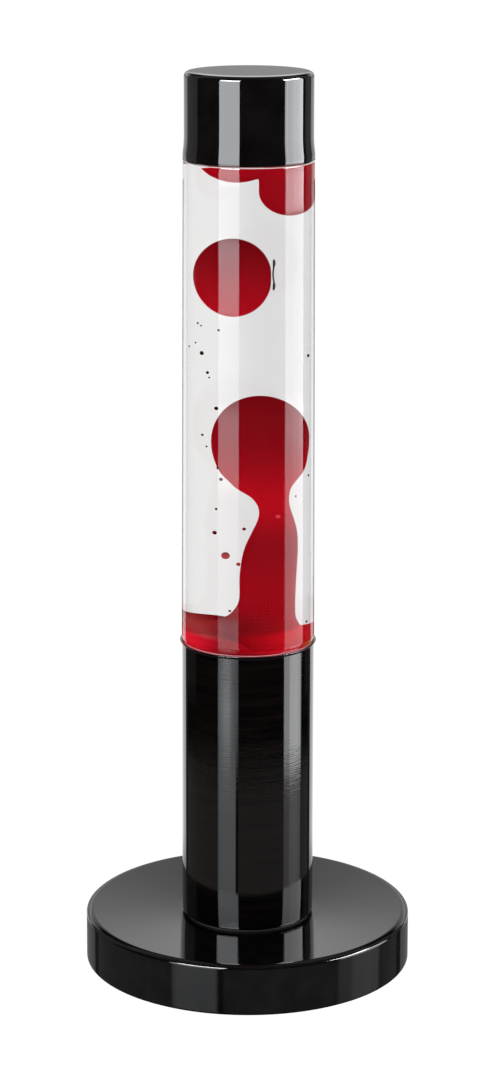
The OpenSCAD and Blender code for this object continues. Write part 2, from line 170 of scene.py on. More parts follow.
def fill_material(m, base, dark, rough=0.4, metallic=0.0, ior=1.5, scale=60.0, bump=0.0, bump_scale=400.0,
                  stretch=(1, 1, 1), spec=0.5, coat=0.0, detail=4.0, rough_var=0.0, emission=None, emit=0.0, blend=(0.35, 0.65)):
    """Principled with a noise-driven base colour, optional noise-driven roughness and bump."""
    m.use_nodes = True
    nt = m.node_tree
    for n in list(nt.nodes):
        nt.nodes.remove(n)
    out = nt.nodes.new("ShaderNodeOutputMaterial")
    p = nt.nodes.new("ShaderNodeBsdfPrincipled")
    nt.links.new(p.outputs[0], out.inputs[0])
    tc = nt.nodes.new("ShaderNodeTexCoord")
    mp = nt.nodes.new("ShaderNodeMapping")
    mp.inputs["Scale"].default_value = stretch
    nt.links.new(tc.outputs["Object"], mp.inputs[0])
    no = nt.nodes.new("ShaderNodeTexNoise")
    no.inputs["Scale"].default_value = scale
    no.inputs["Detail"].default_value = detail
    nt.links.new(mp.outputs[0], no.inputs["Vector"])
    ramp = nt.nodes.new("ShaderNodeValToRGB")
    ramp.color_ramp.elements[0].position = blend[0]
    ramp.color_ramp.elements[1].position = blend[1]
    ramp.color_ramp.elements[0].color = (*dark, 1)
    ramp.color_ramp.elements[1].color = (*base, 1)
    nt.links.new(no.outputs["Fac"], ramp.inputs[0])
    nt.links.new(ramp.outputs[0], p.inputs["Base Color"])
    p.inputs["Metallic"].default_value = metallic
    p.inputs["Roughness"].default_value = rough
    p.inputs["IOR"].default_value = ior
    p.inputs["Specular IOR Level"].default_value = spec
    if coat:
        p.inputs["Coat Weight"].default_value = coat
        p.inputs["Coat Roughness"].default_value = 0.05
    if rough_var:
        mr = nt.nodes.new("ShaderNodeMapRange")
        mr.inputs["To Min"].default_value = max(rough - rough_var, 0.0)
        mr.inputs["To Max"].default_value = rough + rough_var
        nt.links.new(no.outputs["Fac"], mr.inputs["Value"])
        nt.links.new(mr.outputs[0], p.inputs["Roughness"])
    if bump:
        n2 = nt.nodes.new("ShaderNodeTexNoise")
        n2.inputs["Scale"].default_value = bump_scale
        n2.inputs["Detail"].default_value = 3.0
        nt.links.new(mp.outputs[0], n2.inputs["Vector"])
        b = nt.nodes.new("ShaderNodeBump")
        b.inputs["Strength"].default_value = bump
        b.inputs["Distance"].default_value = 0.0002
        nt.links.new(n2.outputs["Fac"], b.inputs["Height"])
        nt.links.new(b.outputs[0], p.inputs["Normal"])
    if emit:
        p.inputs["Emission Color"].default_value = (*emission, 1)
        p.inputs["Emission Strength"].default_value = emit
    return m


def procedural(name, *a, **k):
    return fill_material(bpy.data.materials.new(name), *a, **k)


def glass_material(name, ior, tint_a, tint_b, rough=0.0):
    """Clear refracting material with a faint noise-driven tint."""
    m, nt, out = new_material(name)
    p = nt.nodes.new("ShaderNodeBsdfPrincipled")
    nt.links.new(p.outputs[0], out.inputs[0])
    tc = nt.nodes.new("ShaderNodeTexCoord")
    no = nt.nodes.new("ShaderNodeTexNoise")
    no.inputs["Scale"].default_value = 35.0
    no.inputs["Detail"].default_value = 2.0
    nt.links.new(tc.outputs["Object"], no.inputs["Vector"])
    ramp = nt.nodes.new("ShaderNodeValToRGB")
    ramp.color_ramp.elements[0].color = (*tint_a, 1)
    ramp.color_ramp.elements[1].color = (*tint_b, 1)
    nt.links.new(no.outputs["Fac"], ramp.inputs[0])
    nt.links.new(ramp.outputs[0], p.inputs["Base Color"])
    p.inputs["Roughness"].default_value = rough
    p.inputs["IOR"].default_value = ior
    p.inputs["Transmission Weight"].default_value = 1.0
    return m


def clear_material(name, stops):
    """Skin of the liquid against the glass: no bending of its own, only a faint tint that runs from side to side; the
    overall tint is the liquid's own, its darkening through the middle and lightening towards the sides is painted
    shade.
    """
    m, nt, out = new_material(name)
    t = nt.nodes.new("ShaderNodeBsdfTransparent")
    nt.links.new(t.outputs[0], out.inputs[0])
    tc = nt.nodes.new("ShaderNodeTexCoord")
    sep = nt.nodes.new("ShaderNodeSeparateXYZ")
    nt.links.new(tc.outputs["Object"], sep.inputs[0])
    no = nt.nodes.new("ShaderNodeTexNoise")
    no.inputs["Scale"].default_value = 30.0
    nt.links.new(tc.outputs["Object"], no.inputs["Vector"])
    ma = nt.nodes.new("ShaderNodeMath")
    ma.operation = "MULTIPLY_ADD"
    ma.inputs[1].default_value = 0.006
    nt.links.new(no.outputs["Fac"], ma.inputs[0])
    nt.links.new(sep.outputs["X"], ma.inputs[2])
    mr = nt.nodes.new("ShaderNodeMapRange")
    mr.inputs["From Min"].default_value = (stops[0][0] + 3) * MM
    mr.inputs["From Max"].default_value = (stops[-1][0] + 3) * MM
    nt.links.new(ma.outputs[0], mr.inputs["Value"])
    ramp = nt.nodes.new("ShaderNodeValToRGB")
    els = ramp.color_ramp.elements
    while len(els) < len(stops):
        els.new(0.5)
    for el, (x, c) in zip(els, stops):
        el.position = (x - stops[0][0]) / (stops[-1][0] - stops[0][0])
    for el, (x, c) in zip(els, stops):
        el.color = (*c, 1)
    nt.links.new(mr.outputs[0], ramp.inputs[0])
    nt.links.new(ramp.outputs[0], t.inputs["Color"])
    return m


def emissive(name, low, high, z0, z1, strength=1.0, axis="Z"):
    """Light surface whose brightness runs smoothly with height."""
    m, nt, out = new_material(name)
    e = nt.nodes.new("ShaderNodeEmission")
    nt.links.new(e.outputs[0], out.inputs[0])
    e.inputs["Strength"].default_value = strength
    geo = nt.nodes.new("ShaderNodeNewGeometry")
    sep = nt.nodes.new("ShaderNodeSeparateXYZ")
    nt.links.new(geo.outputs["Position"], sep.inputs[0])
    mr = nt.nodes.new("ShaderNodeMapRange")
    mr.interpolation_type = "SMOOTHSTEP"
    mr.inputs["From Min"].default_value = z0
    mr.inputs["From Max"].default_value = z1
    nt.links.new(sep.outputs[axis], mr.inputs["Value"])
    ramp = nt.nodes.new("ShaderNodeValToRGB")
    ramp.color_ramp.elements[0].color = (*low, 1)
    ramp.color_ramp.elements[1].color = (*high, 1)
    nt.links.new(mr.outputs[0], ramp.inputs[0])
    nt.links.new(ramp.outputs[0], e.inputs["Color"])
    return m


def ramp_node(nt, stops, lo, hi, value):
    """Colour ramp over [lo, hi] driven by a value socket; stops = [(position, (r, g, b))]."""
    mr = nt.nodes.new("ShaderNodeMapRange")
    mr.inputs["From Min"].default_value = lo
    mr.inputs["From Max"].default_value = hi
    nt.links.new(value, mr.inputs["Value"])
    ramp = nt.nodes.new("ShaderNodeValToRGB")
    els = ramp.color_ramp.elements
    while len(els) < len(stops):
        els.new(0.5)
    for el, (x, c) in zip(els, stops):
        el.position = (x - lo) / (hi - lo)
    for el, (x, c) in zip(els, stops):
        el.color = (*c, 1)
    nt.links.new(mr.outputs[0], ramp.inputs[0])
    return ramp.outputs[0]


def emissive_stops(name, stops, tint=(1, 1, 1), around=None, aside=None):
    """Light surface with radiance given at heights: stops = [(z in m, radiance, optional tint)].
    around = [(azimuth in degrees, factor)] and aside = [(distance from the middle in m, factor)] scale it sideways."""
    m, nt, out = new_material(name)
    e = nt.nodes.new("ShaderNodeEmission")
    nt.links.new(e.outputs[0], out.inputs[0])
    full = []
    for st in stops:
        t = st[2] if len(st) > 2 else (1, 1, 1)
        full.append((st[0], tuple(st[1] * tint[k] * t[k] for k in range(3))))
    top = max(max(c) for _, c in full)
    full = [(z, tuple(v / top for v in c)) for z, c in full]
    e.inputs["Strength"].default_value = top
    geo = nt.nodes.new("ShaderNodeNewGeometry")
    sep = nt.nodes.new("ShaderNodeSeparateXYZ")
    nt.links.new(geo.outputs["Position"], sep.inputs[0])
    colour = ramp_node(nt, full, full[0][0], full[-1][0], sep.outputs["Z"])
    for prof, kind in ((around, "az"), (aside, "x")):
        if not prof:
            continue
        big = max(v for _, v in prof)
        if kind == "az":
            neg = nt.nodes.new("ShaderNodeMath")
            neg.operation = "MULTIPLY"
            neg.inputs[1].default_value = -1.0
            nt.links.new(sep.outputs["Y"], neg.inputs[0])
            at = nt.nodes.new("ShaderNodeMath")
            at.operation = "ARCTAN2"
            nt.links.new(sep.outputs["X"], at.inputs[0])
            nt.links.new(neg.outputs[0], at.inputs[1])
            val = at.outputs[0]
            pts = [(math.radians(a), (v / big,) * 3) for a, v in prof]
        else:
            ab = nt.nodes.new("ShaderNodeMath")
            ab.operation = "ABSOLUTE"
            nt.links.new(sep.outputs["X"], ab.inputs[0])
            val = ab.outputs[0]
            pts = [(a, (v / big,) * 3) for a, v in prof]
        fac = ramp_node(nt, pts, pts[0][0], pts[-1][0], val)
        mx = nt.nodes.new("ShaderNodeVectorMath")
        mx.operation = "MULTIPLY"
        nt.links.new(colour, mx.inputs[0])
        nt.links.new(fac, mx.inputs[1])
        colour = mx.outputs[0]
        e.inputs["Strength"].default_value *= big
    nt.links.new(colour, e.inputs["Color"])
    return m


# ---------------------------------------------------------------- materials
M_CAP = procedural("cap_lacquer", (0.0032, 0.0026, 0.0026), (0.0016, 0.0013, 0.0014), rough=0.045, ior=1.70, scale=90, rough_var=0.015)
M_PLATE = procedural("plate_lacquer", (0.0030, 0.0026, 0.0026), (0.0012, 0.0011, 0.0012), rough=0.03, ior=1.60, scale=120,
                     bump=0.05, bump_scale=2200, rough_var=0.01)
M_COLUMN = procedural("column_lacquer", (0.0022, 0.0017, 0.0015), (0.0008, 0.0006, 0.0006), rough=0.04, ior=1.80, scale=30,
                      stretch=(1, 1, 14), bump=0.055, bump_scale=150, rough_var=0.015)
M_RUBBER = procedural("column_gasket_rubber", (0.010, 0.010, 0.010), (0.004, 0.004, 0.004), rough=0.7, scale=200, bump=0.2)
M_GLASS = glass_material("bottle_glass", 1.5, (0.985, 0.99, 0.99), (0.995, 0.995, 0.995))
M_WET = glass_material("bottle_glass_wetted", 1.5 / 1.335, (0.985, 0.99, 0.99), (0.995, 0.995, 0.995))
# painted shade in the liquid: the tint is darker through the middle and lighter towards the left and right sides
M_LIQUID_SKIN = clear_material("liquid_skin", [(-25, (0.945, 0.938, 0.936)), (-12, (0.935, 0.930, 0.928)), (-6, (0.915, 0.908, 0.906)), (2, (0.872, 0.864, 0.866)),
                                               (9, (0.865, 0.858, 0.858)), (14, (0.885, 0.880, 0.882)), (25, (0.915, 0.905, 0.905))])
# painted highlights with a painted glow (emission): a whitish ring at the glass's top edge under the cap, and a pink
# ring where the glass meets the column's lip
M_EDGE_HIGHLIGHT = procedural("glass_top_edge_painted_highlight", (0.95, 0.90, 0.90), (0.85, 0.78, 0.78), rough=0.5, scale=120, emission=(1.0, 0.80, 0.80), emit=0.12)
M_LIP_HIGHLIGHT = procedural("glass_lip_painted_highlight", (0.92, 0.50, 0.54), (0.82, 0.38, 0.42), rough=0.5, scale=120, emission=(1.0, 0.30, 0.36), emit=0.12)
M_LIQUID_TOP = glass_material("liquid_surface", 1.335, (0.97, 0.97, 0.97), (0.98, 0.98, 0.98))


def wax_material(name, stops, mottle=0.06, foot_glow=False, ratio=(1.0, 0.0035, 0.020), emit=0.25, gain=1.30):
    """Red wax with painted light: strength of the red runs with height through stops = [(z mm, red)], with a soft
    mottle; the stops paint the light and shade at each height, and the colour also drives emission as a painted glow.
    foot_glow also paints light on the foot, brightening it towards the two sides low down."""
    m, nt, out = new_material(name)
    L = nt.links.new
    p = nt.nodes.new("ShaderNodeBsdfPrincipled")
    L(p.outputs[0], out.inputs[0])
    tc = nt.nodes.new("ShaderNodeTexCoord")
    sep = nt.nodes.new("ShaderNodeSeparateXYZ")
    L(tc.outputs["Object"], sep.inputs[0])
    no = nt.nodes.new("ShaderNodeTexNoise")
    no.inputs["Scale"].default_value = 110.0
    no.inputs["Detail"].default_value = 2.0
    L(tc.outputs["Object"], no.inputs["Vector"])
    z0, z1 = stops[0][0], stops[-1][0]
    ma = nt.nodes.new("ShaderNodeMath")
    ma.operation = "MULTIPLY_ADD"
    ma.inputs[1].default_value = mottle * (z1 - z0) * MM
    L(no.outputs["Fac"], ma.inputs[0])
    L(sep.outputs["Z"], ma.inputs[2])
    mr = nt.nodes.new("ShaderNodeMapRange")
    mr.inputs["From Min"].default_value = (z0 + mottle * (z1 - z0) / 2) * MM
    mr.inputs["From Max"].default_value = (z1 + mottle * (z1 - z0) / 2) * MM
    L(ma.outputs[0], mr.inputs["Value"])
    ramp = nt.nodes.new("ShaderNodeValToRGB")
    ramp.color_ramp.interpolation = "B_SPLINE" if len(stops) > 3 else "LINEAR"
    els = ramp.color_ramp.elements
    while len(els) < len(stops):
        els.new(0.5)
    for el, (z, v) in zip(els, stops):
        el.position = (z - z0) / (z1 - z0)
    for el, (z, v) in zip(els, stops):
        v *= gain
        el.color = (v * ratio[0], v * ratio[1], v * ratio[2], 1)
    L(mr.outputs[0], ramp.inputs[0])
    colour = ramp.outputs[0]
    if foot_glow:
        def side_ramp(stops_x):
            mx = nt.nodes.new("ShaderNodeMapRange")
            mx.inputs["From Min"].default_value = -0.026
            mx.inputs["From Max"].default_value = 0.026
            L(sep.outputs["X"], mx.inputs["Value"])
            rx = nt.nodes.new("ShaderNodeValToRGB")
            e = rx.color_ramp.elements
            while len(e) < len(stops_x):
                e.new(0.5)
            for el, (x, c) in zip(e, stops_x):
                el.position = (x + 26) / 52
            for el, (x, c) in zip(e, stops_x):
                el.color = (*c, 1)
            L(mx.outputs[0], rx.inputs[0])
            return rx.outputs[0]
        # painted light low on the mound: bright red at both sides, darker in the middle, and an orange edge at the
        # right
        low = side_ramp([(-26, (1.0, 0.008, 0.05)), (-21, (1.0, 0.004, 0.03)), (-17, (0.78, 0.006, 0.03)), (-11, (0.44, 0.003, 0.012)), (-6, (0.42, 0.002, 0.010)), (0, (0.55, 0.002, 0.010)),
                         (6, (0.70, 0.003, 0.014)), (14, (0.95, 0.004, 0.02)), (20.0, (0.85, 0.006, 0.018)), (22.6, (0.66, 0.13, 0.03)), (26, (0.66, 0.16, 0.05))])
        # painted light higher on the mound: lighter pinkish red at the left, darker in the middle
        high = side_ramp([(-26, (0.72, 0.100, 0.100)), (-16, (0.64, 0.085, 0.085)), (-11, (0.46, 0.035, 0.040)), (-7, (0.30, 0.004, 0.012)), (0, (0.31, 0.003, 0.008)), (8, (0.40, 0.003, 0.008)),
                          (18, (0.60, 0.006, 0.016)), (26, (0.50, 0.05, 0.02))])
        f1 = nt.nodes.new("ShaderNodeMapRange")
        f1.interpolation_type = "SMOOTHSTEP"
        f1.inputs["From Min"].default_value = 0.1370
        f1.inputs["From Max"].default_value = 0.1400
        L(sep.outputs["Z"], f1.inputs["Value"])
        m1 = nt.nodes.new("ShaderNodeMix")
        m1.data_type = "RGBA"
        L(f1.outputs[0], m1.inputs[0])
        L(low, m1.inputs[6])
        L(high, m1.inputs[7])
        f2 = nt.nodes.new("ShaderNodeMapRange")
        f2.interpolation_type = "SMOOTHSTEP"
        f2.inputs["From Min"].default_value = 0.1405
        f2.inputs["From Max"].default_value = 0.1480
        L(sep.outputs["Z"], f2.inputs["Value"])
        m2 = nt.nodes.new("ShaderNodeMix")
        m2.data_type = "RGBA"
        L(f2.outputs[0], m2.inputs[0])
        L(m1.outputs[2], m2.inputs[6])
        L(colour, m2.inputs[7])
        colour = m2.outputs[2]
    L(colour, p.inputs["Base Color"])
    # the same colour also drives emission: a painted glow
    L(colour, p.inputs["Emission Color"])
    p.inputs["Emission Strength"].default_value = emit
    p.inputs["Roughness"].default_value = 0.5
    p.inputs["IOR"].default_value = 1.35
    p.inputs["Specular IOR Level"].default_value = 0.0
    return m


# painted light and shade: these height stops set how brightly each wax piece looks lit at each height (the free blob
# darker at its top and brighter below, the droplets near black high up)
M_WAX_COL = wax_material("wax_red_column", [(140, 0.31), (150, 0.32), (157, 0.33), (165, 0.28), (172, 0.26), (178, 0.30), (184, 0.42), (190, 0.47), (196, 0.42),
                                            (202, 0.35), (208, 0.29), (216, 0.24), (226, 0.22), (234, 0.25)], foot_glow=True)
M_WAX_TOP = wax_material("wax_red_top", [(304, 0.31), (312, 0.29), (319, 0.31), (324, 0.40), (331, 0.36)])
M_WAX_BLOB = wax_material("wax_red_blob", [(264, 0.42), (270, 0.36), (277, 0.30), (284, 0.245), (290, 0.21), (295, 0.19)])
M_WAX_DROP = wax_material("wax_red_drops", [(130, 0.10), (160, 0.16), (168.5, 0.50), (171, 0.30), (176, 0.10), (210, 0.02), (300, 0.015)], mottle=0.002, emit=0.1)
# painted shade: a near-black sliver along the free blob's flattened side stands in for the dark edge seen there
M_SHADE_SLIVER = procedural("wax_painted_shade_sliver", (0.012, 0.001, 0.002), (0.004, 0.0005, 0.001), rough=0.5, scale=400)
# one small wax ball made brighter red with its own emission: a painted glow
M_BUBBLE_GLOW = procedural("wax_bubble_painted_glow", (0.80, 0.05, 0.09), (0.62, 0.02, 0.05), rough=0.5, scale=300, emission=(0.8, 0.06, 0.10), emit=0.35)

# ---------------------------------------------------------------- measurements shared with the CAD part, mm
TOTAL, PLATE_R, PLATE_TOP, PLATE_T, PLATE_EDGE, SEAT = 360.0, 65.2, 20.45, 1.5, 2.6, 18.6
COL_R, COL_T, LIP_Z, LIP_R = 26.35, 0.8, 132.5, 27.15
COL_Z0, COL_FLOOR, FOOT_R = 19.5, 20.7, 0.9
CAP_Z0, CAP_R, SKIRT_R, CAP_EDGE, CAP_T = 325.6, 25.35, 25.9, 2.0, 1.0
GLASS_RB, GLASS_RT, GLASS_TOP, WALL, BOTTLE_Z0 = 26.45, 25.8, 325.2, 2.2, 119.5
NECK = 352.5
LIQUID_Z = 334.5

# ---------------------------------------------------------------- base plate
edge_r = PLATE_R - PLATE_EDGE
crest = 62.65
outer = [(PLATE_R, 2.0), (PLATE_R, 8.0), (PLATE_R, 14.0), (PLATE_R, 18.2)] + arc(PLATE_R - 1.0, PLATE_TOP - 1.643, 1.0, 0, 45, 9)[:-1]
outer += arc(crest - 0.01, PLATE_TOP - 3.2, 3.2, 46, 90, 12)
dish = [(r, SEAT + (PLATE_TOP - SEAT) * (r - 28.0) / (crest - 28.0)) for r in (62.2, 61.5, 58, 52, 46, 40, 34, 29.5)]
outer += dish + [(28.0, SEAT), (26.0, SEAT), (5.1, SEAT)]
inner = [(5.1, SEAT - PLATE_T), (28.0, SEAT - PLATE_T), (edge_r, PLATE_TOP - PLATE_T)]
inner += arc(edge_r, PLATE_TOP - PLATE_EDGE, PLATE_EDGE - PLATE_T, 90, 0, 8)
inner += [(PLATE_R - PLATE_T, 10.0), (PLATE_R - PLATE_T, 1.05)]
rolled = arc(PLATE_R - PLATE_T / 2, 1.05, PLATE_T / 2, -180, 0, 10)[1:-1]
shell = lathe("base_plate_shell", outer + inner + rolled + [(PLATE_R, 1.05)], [M_PLATE], segs=224, loop=True)
# hole for the cord bush in the rear wall
cut = bpy.data.objects.new("cut", bpy.data.meshes.new("cut"))
bm = bmesh.new()
bmesh.ops.create_cone(bm, cap_ends=True, segments=64, radius1=4.4 * MM, radius2=4.4 * MM, depth=20 * MM,
                      matrix=Matrix.Translation((0, 65 * MM, 9.5 * MM)) @ Matrix.Rotation(math.radians(90), 4, "X"))
bm.to_mesh(cut.data)
bm.free()
SCENE.collection.objects.link(cut)
mod = shell.modifiers.new("inlet", "BOOLEAN")
mod.operation = "DIFFERENCE"
mod.object = cut
mod.solver = "EXACT"
bpy.context.view_layer.update()
cut_mesh = bpy.data.meshes.new_from_object(shell.evaluated_get(bpy.context.evaluated_depsgraph_get()))
shell.modifiers.clear()
shell.data = cut_mesh
for p in cut_mesh.polygons:
    p.use_smooth = True
cut_mesh.set_sharp_from_angle(angle=math.radians(32))
bpy.data.objects.remove(cut)
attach(shell, "base")
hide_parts("base_shell")

# ---------------------------------------------------------------- column and its gasket
FL0 = LIP_Z - 1.3


def flare(z):
    return 0.0 if z < FL0 else (LIP_R - COL_R) * ((z - FL0) / (LIP_Z - FL0)) ** 2.4


steps = [FL0 + (LIP_Z - FL0) * i / 12 for i in range(13)]
prof = [(5.1, COL_Z0), (14.0, COL_Z0), (COL_R - FOOT_R, COL_Z0)]
prof += arc(COL_R - FOOT_R, COL_Z0 + FOOT_R, FOOT_R, -90, 0, 10)[1:]
prof += [(COL_R, z) for z in (30, 45, 60, 75, 90, 105, 120)]
prof += [(COL_R + flare(z), z) for z in steps[:-1]]
lip_c = (LIP_R - 0.12, LIP_Z - 0.12)
prof += arc(lip_c[0], lip_c[1], 0.12, 0, 90, 5)
prof += [(LIP_R - COL_T, LIP_Z)]
prof += [(COL_R - COL_T + flare(z), z) for z in reversed(steps[:-1])]
prof += [(COL_R - COL_T, z) for z in (120, 90, 60, 30)] + [(COL_R - COL_T, COL_FLOOR + 1.0), (COL_R - COL_T - 1.0, COL_FLOOR), (5.1, COL_FLOOR)]
column = lathe("column_sleeve", prof, [M_COLUMN], segs=192, loop=True)
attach(column, "base")
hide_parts("column_tube")

g = COL_R - FOOT_R - 0.2
gasket = lathe("column_gasket_ring", [(5.3, SEAT + 0.02), (g - 0.25, SEAT + 0.02)] + arc(g - 0.25, SEAT + 0.27, 0.25, -80, 0, 4)
               + arc(g - 0.25, COL_Z0 - 0.25, 0.23, 0, 90, 4) + [(5.3, COL_Z0 - 0.02)], [M_RUBBER], segs=128, loop=True)
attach(gasket, "base")
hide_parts("column_gasket")

# ---------------------------------------------------------------- cap
c1 = (SKIRT_R, CAP_Z0 + 3.6)
prof = [(SKIRT_R - CAP_T, CAP_Z0 + 0.35), (SKIRT_R - CAP_T + 0.3, CAP_Z0 + 0.02), (SKIRT_R - 0.3, CAP_Z0)]
prof += arc(SKIRT_R - 0.3, CAP_Z0 + 0.3, 0.3, -80, 0, 5) + [(SKIRT_R, CAP_Z0 + 1.0)]
prof += [tuple(p) for p in spline([(SKIRT_R, CAP_Z0 + 1.6), (SKIRT_R - 0.05, CAP_Z0 + 2.6), (CAP_R + 0.27, CAP_Z0 + 4.6),
                                   (CAP_R + 0.09, CAP_Z0 + 6.8), (CAP_R, CAP_Z0 + 9.2)], 5)]
prof += [(CAP_R, CAP_Z0 + 16), (CAP_R, CAP_Z0 + 24)] + arc(CAP_R - CAP_EDGE, TOTAL - CAP_EDGE, CAP_EDGE, 0, 90, 14)
prof += [(18, TOTAL), (10, TOTAL), (0, TOTAL)]
inside = [(0, TOTAL - CAP_T), (CAP_R - CAP_EDGE, TOTAL - CAP_T)]
inside += arc(CAP_R - CAP_EDGE, TOTAL - CAP_EDGE, CAP_EDGE - CAP_T, 90, 0, 6)[1:]
inside += [(CAP_R - CAP_T, CAP_Z0 + 10.2), (CAP_R - CAP_T + 0.12, CAP_Z0 + 8.4), (SKIRT_R - CAP_T, CAP_Z0 + 3.6)]
cap = lathe("cap_shell", prof + inside, [M_CAP], segs=192, loop=True)
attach(cap, "cap")
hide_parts("top_cap")

# ---------------------------------------------------------------- glass vessel
g_out = [(0, BOTTLE_Z0 + 1.6), (7, BOTTLE_Z0 + 1.5), (13, BOTTLE_Z0 + 1.2), (15.5, BOTTLE_Z0 + 0.5), (17.5, BOTTLE_Z0 + 0.05)]
g_out += arc(20.7, BOTTLE_Z0 + 4, 4, -90, 0, 12)
g_out += [tuple(p) for p in spline([(24.72, 126.0), (24.75, 128.4), (25.0, 130.1), (25.4, 131.3), (25.9, 132.3), (26.25, 133.1), (26.42, 134.0),
                                    (GLASS_RB, 135.2), (GLASS_RB - 0.02, 138.0)], 3)]


def glass_r(z):
    return GLASS_RB + (GLASS_RT - GLASS_RB) * (z - 133.8) / (GLASS_TOP - 133.8)


g_out += [(glass_r(z), z) for z in range(145, 320, 12)] + [(glass_r(322), 322.0), (glass_r(324), GLASS_TOP - 0.9)]
g_out += [(GLASS_RT - 0.03, GLASS_TOP - 0.5), (GLASS_RT - 0.15, GLASS_TOP - 0.2), (GLASS_RT - 0.4, GLASS_TOP - 0.03), (24.9, GLASS_TOP), (24.55, GLASS_TOP + 0.12),
          (24.4, GLASS_TOP + 0.5)]
g_out += [tuple(p) for p in spline([(24.4, 327.5), (24.4, 329.5), (24, 331.6), (22.7, 333.9), (20.4, 335.9), (17.7, 337.5), (15.4, 339),
                                    (13.8, 340.8), (13.05, 343.2), (13, 346), (13, NECK - 4.5)], 4)]
g_out += [(13.6, NECK - 4.3), (14, NECK - 3.6), (14, NECK - 1.2), (13.85, NECK - 0.6), (13.3, NECK), (11.5, NECK + 0.0), (9.8, NECK - 0.1), (9.6, NECK - 0.4)]
g_in = [tuple(p) for p in spline([(9.6, NECK - 3), (9.6, 346), (9.65, 344), (10.2, 341.4), (11.4, 339.1), (13.4, 337.2), (16.2, 335.5), (16.9, LIQUID_Z + 0.62)], 4)]
g_wet = [tuple(p) for p in spline([(17.9, LIQUID_Z), (18.6, 334.1), (20.4, 332.7), (21.6, 331.1), (22.1, 329.5), (22.9, 327.5),
                                   (GLASS_RT - WALL - 0.15, GLASS_TOP - 1.5), (GLASS_RT - WALL + 0.02, GLASS_TOP - 4)], 4)]
g_wet += [(glass_r(z) - WALL, z) for z in range(313, 140, -12)]
g_wet += [tuple(p) for p in spline([(glass_r(138) - WALL, 138.0), (GLASS_RB - WALL, 135.8), (24.05, 134.2), (23.5, 132.4), (23.0, 130.8), (22.5, 129),
                                    (22.25, 127.4), (22.2, BOTTLE_Z0 + 6.2)], 3)]
g_wet += arc(19, BOTTLE_Z0 + 6.2, 3.2, 0, -80, 10)[1:] + [(18.3, BOTTLE_Z0 + 3.25), (14, BOTTLE_Z0 + 4), (7, BOTTLE_Z0 + 4.3), (0, BOTTLE_Z0 + 4.4)]


glass_profile = g_out + g_in + g_wet
first_wet = len(g_out) + len(g_in)


def lathe_slots(name, profile, mats, slots, segs=192, sharp=32.0):
    """Like lathe, but slots[i] is the material slot of the faces between point i and i + 1."""
    bm = bmesh.new()
    rings = []
    for r, z in profile:
        n = 1 if r < 1e-6 else segs
        rings.append([bm.verts.new((r * math.cos(2 * math.pi * i / segs) * MM, r * math.sin(2 * math.pi * i / segs) * MM, z * MM)) for i in range(n)])
    for k in range(len(rings) - 1):
        ra, rb = rings[k], rings[k + 1]
        for i in range(segs):
            j = (i + 1) % segs
            if len(ra) == 1 and len(rb) == 1:
                continue
            if len(ra) == 1:
                f = bm.faces.new((ra[0], rb[j], rb[i]))
            elif len(rb) == 1:
                f = bm.faces.new((ra[i], ra[j], rb[0]))
            else:
                f = bm.faces.new((ra[i], ra[j], rb[j], rb[i]))
            f.material_index = slots[k]
    return finish_mesh(bm, name, mats, sharp)


def glass_slot_at(k):
    if k >= first_wet - 1:
        return 1
    z = (glass_profile[k][1] + glass_profile[k + 1][1]) / 2
    if k < len(g_out) and glass_profile[k][0] > 24.8:
        # slot 3 paints the highlight ring at the lip, slot 2 the highlight ring under the cap
        if 132.5 < z < 132.92:
            return 3
        if GLASS_TOP - 0.3 < z < GLASS_TOP + 0.05:
            return 2
    return 0


bottle = lathe_slots("glass_vessel", glass_profile, [M_GLASS, M_WET, M_EDGE_HIGHLIGHT, M_LIP_HIGHLIGHT], [glass_slot_at(k) for k in range(len(glass_profile) - 1)])
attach(bottle, "vessel")
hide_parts("glass_bottle")

# ---------------------------------------------------------------- liquid
GAP = 0.03
liq = [(0, BOTTLE_Z0 + 4.4 + GAP), (7, BOTTLE_Z0 + 4.3 + GAP), (14, BOTTLE_Z0 + 4 + GAP), (18.3, BOTTLE_Z0 + 3.25 + GAP)]
side = [(r - GAP, z) for r, z in reversed(g_wet) if z > BOTTLE_Z0 + 3.6]
liq += [p for p in side if p[1] < LIQUID_Z - 0.05]
n_side = len(liq)
liq += [(17.85, LIQUID_Z + 0.25), (17.3, LIQUID_Z + 0.02), (16.2, LIQUID_Z - 0.03), (12, LIQUID_Z - 0.04), (0, LIQUID_Z - 0.04)]
liquid = lathe_slots("clear_liquid_body", liq, [M_LIQUID_SKIN, M_LIQUID_TOP], [0 if k < n_side else 1 for k in range(len(liq) - 1)], segs=160)
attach(liquid, "vessel")
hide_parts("liquid")

# ---------------------------------------------------------------- wax column: mound, stem and head
rings = []
